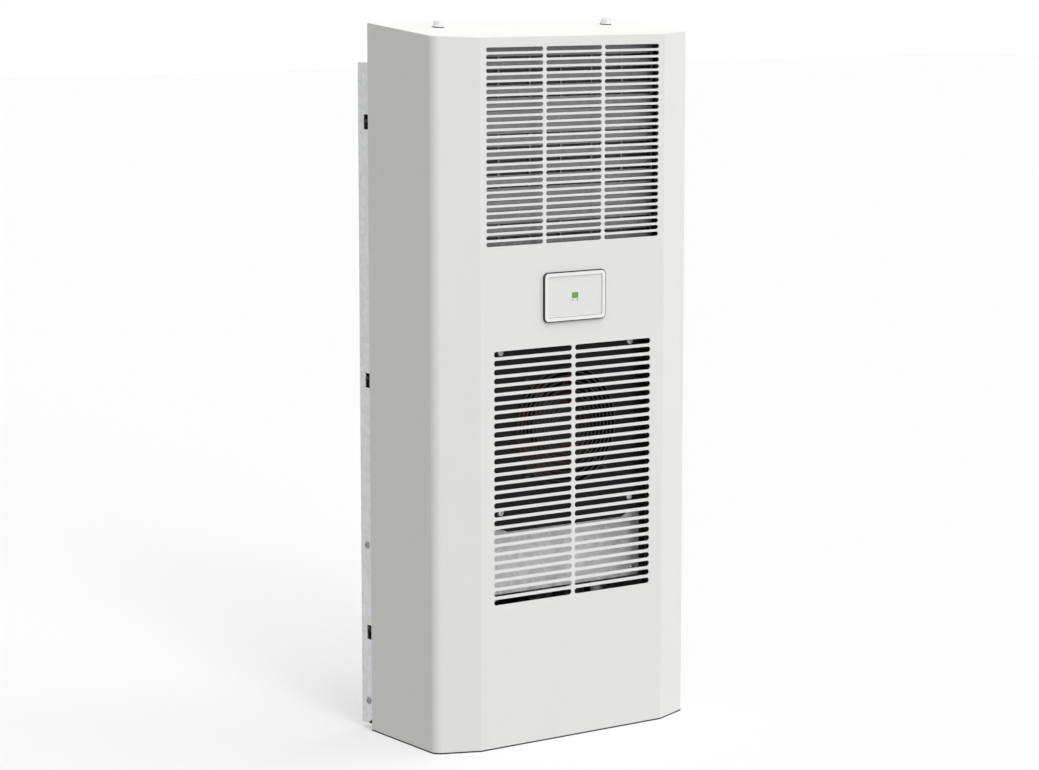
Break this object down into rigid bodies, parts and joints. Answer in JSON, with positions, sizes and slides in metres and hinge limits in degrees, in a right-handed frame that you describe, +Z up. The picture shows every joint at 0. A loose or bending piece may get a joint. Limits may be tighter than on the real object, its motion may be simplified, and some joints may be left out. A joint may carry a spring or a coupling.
{
  "type": "enclosure cooling unit",
  "caption": "Tall slim air conditioner for an electrical enclosure: folded cover with two slotted grilles, small display, galvanised rear chassis, two fans.",
  "frame": {"origin": "bottom centre of the unit's bounding box, on the floor plane", "axes": "+X to the right seen from the front, +Y to the rear towards the enclosure, +Z up"},
  "size_m": [0.42, 0.213, 0.9684],
  "materials": {
    "cover_paint": "fine texture powder coat, light grey",
    "galvanised": "hot-dip galvanised sheet with spangle",
    "bright_steel": "zinc plated steel",
    "seal_rubber": "closed-cell rubber",
    "coil_fins": "thin aluminium fin stock",
    "copper_tube": "drawn copper tube",
    "black_paint": "black paint, semi-matt",
    "black_plastic": "moulded black plastic",
    "foam_housing": "moulded foam",
    "board_green": "circuit board",
    "can_aluminium": "drawn can",
    "valve_brass": "turned brass",
    "display_white": "moulded, glossy",
    "display_grey": "satin film",
    "lamp_green": "translucent lens",
    "dot_grey": "translucent lens"
  },
  "bodies": {
    "unit": {"cover_hood": "cover_paint", "roof_bolts": "bright_steel", "roof_washers": "seal_rubber", "roof_brackets": "galvanised", "roof_nuts": "bright_steel", "chassis": "galvanised", "side_panels": "galvanised", "base_tray": "black_paint", "side_rivets": "bright_steel", "mounting_nuts": "bright_steel", "rear_gasket": "seal_rubber", "partition": "galvanised", "housing_shelf": "galvanised", "coil_guard": "galvanised", "condenser_fins": "coil_fins", "condenser_tubes": "black_paint", "condenser_end_plates": "galvanised", "fan_box": "galvanised", "fan_plate": "black_paint", "fan_plate_screws": "bright_steel", "finger_guard": "black_paint", "finger_guard_screws": "bright_steel", "fan_motor_bracket": "black_paint", "fan_motor": "black_paint", "electrical_box": "galvanised", "electrical_lid": "galvanised", "lid_screws": "bright_steel", "control_board": "board_green", "run_capacitor": "can_aluminium", "compressor": "black_paint", "compressor_cap": "black_plastic", "compressor_grommets": "seal_rubber", "compressor_studs": "bright_steel", "accumulator": "black_paint", "filter_drier": "black_paint", "discharge_line": "black_paint", "liquid_line": "black_paint", "suction_line": "copper_tube", "expansion_valve": "valve_brass", "evaporator_housing": "foam_housing", "housing_panel": "foam_housing", "evaporator_fins": "coil_fins", "evaporator_tubes": "copper_tube", "evaporator_end_plates": "galvanised", "air_baffle": "galvanised", "drain_pan": "black_plastic", "drain_tube": "seal_rubber", "inlet_ring": "bright_steel", "radial_fan_bracket": "galvanised", "radial_fan_motor": "black_paint", "power_connector": "black_plastic", "display_frame": "display_white", "display_panel": "display_grey", "display_case": "black_plastic", "status_led": "lamp_green", "indicator_dots": "dot_grey"},
    "axial_fan": {"fan_rotor": "black_paint", "fan_impeller": "black_plastic"},
    "radial_fan": {"radial_fan_rotor": "black_paint", "radial_impeller": "bright_steel"}
  },
  "joints": [
    {"name": "axial_fan_spin", "type": "hinge", "parent": "unit", "child": "axial_fan", "pos_m": [0, -0.0425, 0.425], "axis": [0, 1, 0], "continuous": true},
    {"name": "radial_fan_spin", "type": "hinge", "parent": "unit", "child": "radial_fan", "pos_m": [0, 0.0445, 0.8], "axis": [0, 1, 0], "continuous": true}
  ]
}
